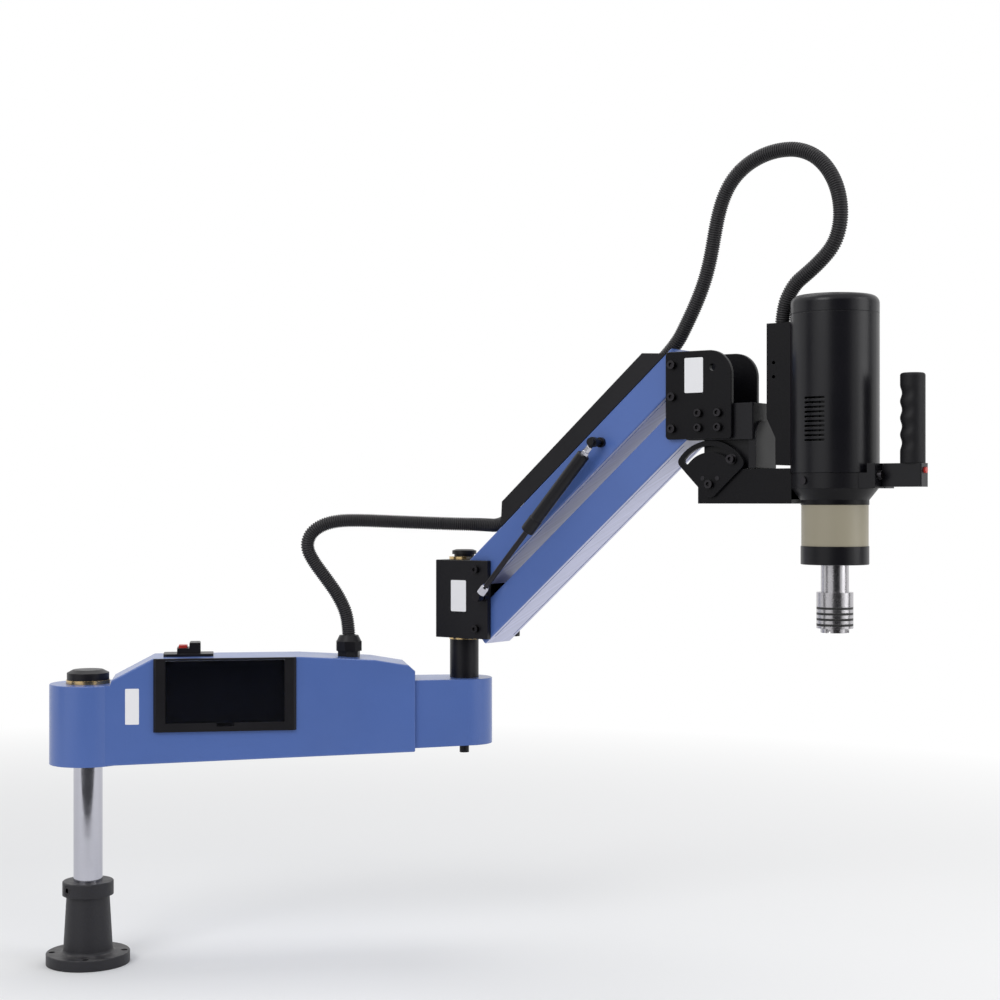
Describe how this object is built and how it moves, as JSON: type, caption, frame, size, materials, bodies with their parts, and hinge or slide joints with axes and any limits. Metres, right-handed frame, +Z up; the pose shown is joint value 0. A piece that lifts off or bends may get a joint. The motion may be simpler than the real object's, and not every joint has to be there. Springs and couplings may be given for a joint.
{
  "type": "arm tapping machine",
  "caption": "Swivelling two-part arm on a column, held by a gas spring, that carries an upright electric tapping head with a side handle and a tilting bracket.",
  "frame": {"origin": "centre of the base's foot, in the plane that it is bolted to", "axes": "+Z up along the column, +X along the lower arm towards the elbow"},
  "size_m": [1.2865, 0.6407, 1.2946],
  "materials": {
    "blue_paint": "satin enamel",
    "dark_iron": "painted dark grey casting",
    "chromed_steel": "hard chrome",
    "black_plastic": "fine matte",
    "black_paint": "semi-matt black",
    "brass_ring": "machined",
    "smoked_pane": "smoked clear plastic",
    "screen_dark": "dark display",
    "red_plastic": "gloss",
    "hose_plastic": "ribbed conduit",
    "zinc_steel": "plated steel",
    "bright_alloy": "machined",
    "black_alloy": "black anodised",
    "beige_ring": "warm plated finish",
    "bronze_bush": "sintered bronze",
    "grip_rubber": "soft grip",
    "cover_paint": "dark grey powder coat"
  },
  "bodies": {
    "base": {"base_stand": "dark_iron", "base_lock_screws": "zinc_steel", "column": "chromed_steel", "column_cap": "black_plastic", "column_ring": "brass_ring"},
    "lower_arm": {"lower_arm_case": "blue_paint", "rear_panel": "blue_paint", "panel_screws": "zinc_steel", "column_bushes": "bronze_bush", "servo_drive": "black_alloy", "screen_bezel": "black_plastic", "touch_screen": "screen_dark", "switch_box": "black_plastic", "gland_body": "black_plastic", "gland_nut": "black_plastic", "elbow_shaft": "black_paint", "elbow_rings": "brass_ring", "elbow_cap": "black_plastic"},
    "screen_door": {"smoked_door": "smoked_pane"},
    "stop": {"stop_button": "red_plastic"},
    "start": {"start_button": "black_plastic"},
    "elbow": {"elbow_block": "black_paint", "elbow_bushes": "bronze_bush", "elbow_pins": "zinc_steel", "gas_lower_stud": "zinc_steel", "hose_lower": "hose_plastic"},
    "upper_link": {"upper_bar": "blue_paint", "upper_bar_bushes": "bronze_bush", "cable_hood": "black_plastic", "gas_upper_stud": "zinc_steel"},
    "lower_link": {"lower_bar": "blue_paint", "lower_bar_bushes": "bronze_bush"},
    "gas_rod_body": {"gas_rod": "zinc_steel"},
    "gas_tube": {"gas_cylinder": "black_paint"},
    "carrier": {"front_cheek": "black_paint", "rear_cheek": "black_paint", "carrier_pins": "zinc_steel", "cheek_screws": "zinc_steel", "end_block": "black_paint", "tilt_bracket": "black_alloy", "tilt_lock_bolt": "zinc_steel", "hose_upper": "hose_plastic"},
    "head": {"tilt_sector": "black_alloy", "tilt_pin": "zinc_steel", "head_bar": "black_alloy", "clamp_ring": "black_alloy", "clamp_screws": "zinc_steel", "motor_cover": "cover_paint", "motor_core": "black_alloy", "gearbox_housing": "black_alloy", "gearbox_ring": "beige_ring", "nose_ring": "black_alloy", "spindle_bearings": "zinc_steel", "cable_box": "black_plastic", "handle_bar": "black_alloy", "handle_grip": "grip_rubber"},
    "trigger": {"trigger_button": "red_plastic"},
    "spindle_body": {"spindle": "zinc_steel", "chuck_body": "zinc_steel"},
    "sleeve": {"chuck_sleeve": "zinc_steel"}
  },
  "joints": [
    {"name": "base_swivel", "type": "hinge", "parent": "base", "child": "lower_arm", "pos_m": [0, 0, 0.39], "axis": [0, 0, 1], "range_deg": [-170, 170]},
    {"name": "elbow_swivel", "type": "hinge", "parent": "lower_arm", "child": "elbow", "pos_m": [0.622, 0, 0.5922], "axis": [0, 0, 1], "range_deg": [-76.2, 163.8], "deforming": ["hose_lower"]},
    {"name": "lift", "type": "hinge", "parent": "elbow", "child": "upper_link", "pos_m": [0.66422, -0.04049, 0.642], "axis": [-0.6921, -0.7218, 0], "range_deg": [-66, 8], "deforming": ["hose_upper"]},
    {"name": "lower_link_pivot", "type": "hinge", "parent": "elbow", "child": "lower_link", "pos_m": [0.66422, -0.04049, 0.544], "axis": [-0.6921, -0.7218, 0], "range_deg": [-66.2, 8.2]},
    {"name": "carrier_level", "type": "hinge", "parent": "upper_link", "child": "carrier", "pos_m": [0.93168, -0.29697, 0.96413], "axis": [-0.6921, -0.7218, 0], "range_deg": [-8.2, 66.2]},
    {"name": "gas_rod_pivot", "type": "hinge", "parent": "elbow", "child": "gas_rod_body", "pos_m": [0.63214, -0.09562, 0.598], "axis": [-0.6921, -0.7218, 0], "range_deg": [-67, 9]},
    {"name": "gas_stroke", "type": "slide", "parent": "gas_rod_body", "child": "gas_tube", "axis": [0.4792, -0.4596, 0.7478], "range_m": [-0.0514, 0.0067]},
    {"name": "head_tilt", "type": "hinge", "parent": "carrier", "child": "head", "pos_m": [0.97499, -0.3385, 0.78102], "axis": [0.6921, 0.7218, 0], "range_deg": [0, 90]},
    {"name": "spindle_spin", "type": "hinge", "parent": "head", "child": "spindle_body", "pos_m": [1.11068, -0.46862, 0.62103], "axis": [0, 0, 1], "continuous": true},
    {"name": "sleeve_release", "type": "slide", "parent": "spindle_body", "child": "sleeve", "axis": [0, 0, 1], "range_m": [0, 0.006], "stiffness_N_per_m": 1500, "springref_m": -0.004},
    {"name": "trigger_press", "type": "slide", "parent": "head", "child": "trigger", "axis": [-0.7218, 0.6921, 0], "range_m": [0, 0.002], "stiffness_N_per_m": 500, "springref_m": -0.001},
    {"name": "stop_press", "type": "slide", "parent": "lower_arm", "child": "stop", "axis": [0, 0, -1], "range_m": [0, 0.003], "stiffness_N_per_m": 600, "springref_m": -0.001},
    {"name": "start_press", "type": "slide", "parent": "lower_arm", "child": "start", "axis": [0, 0, -1], "range_m": [0, 0.003], "stiffness_N_per_m": 500, "springref_m": -0.001},
    {"name": "door_hinge", "type": "hinge", "parent": "lower_arm", "child": "screen_door", "pos_m": [0.222, -0.05875, 0.49545], "axis": [-1, 0, 0], "range_deg": [0, 100]}
  ],
  "couplings": [
    {"joint": "lower_link_pivot", "follows": "lift", "ratio": 1},
    {"joint": "carrier_level", "follows": "lift", "ratio": -1},
    {"joint": "gas_rod_pivot", "follows": "lift", "ratio": 0.9953},
    {"joint": "gas_stroke", "follows": "lift", "m_per_rad": 0.04418}
  ]
}
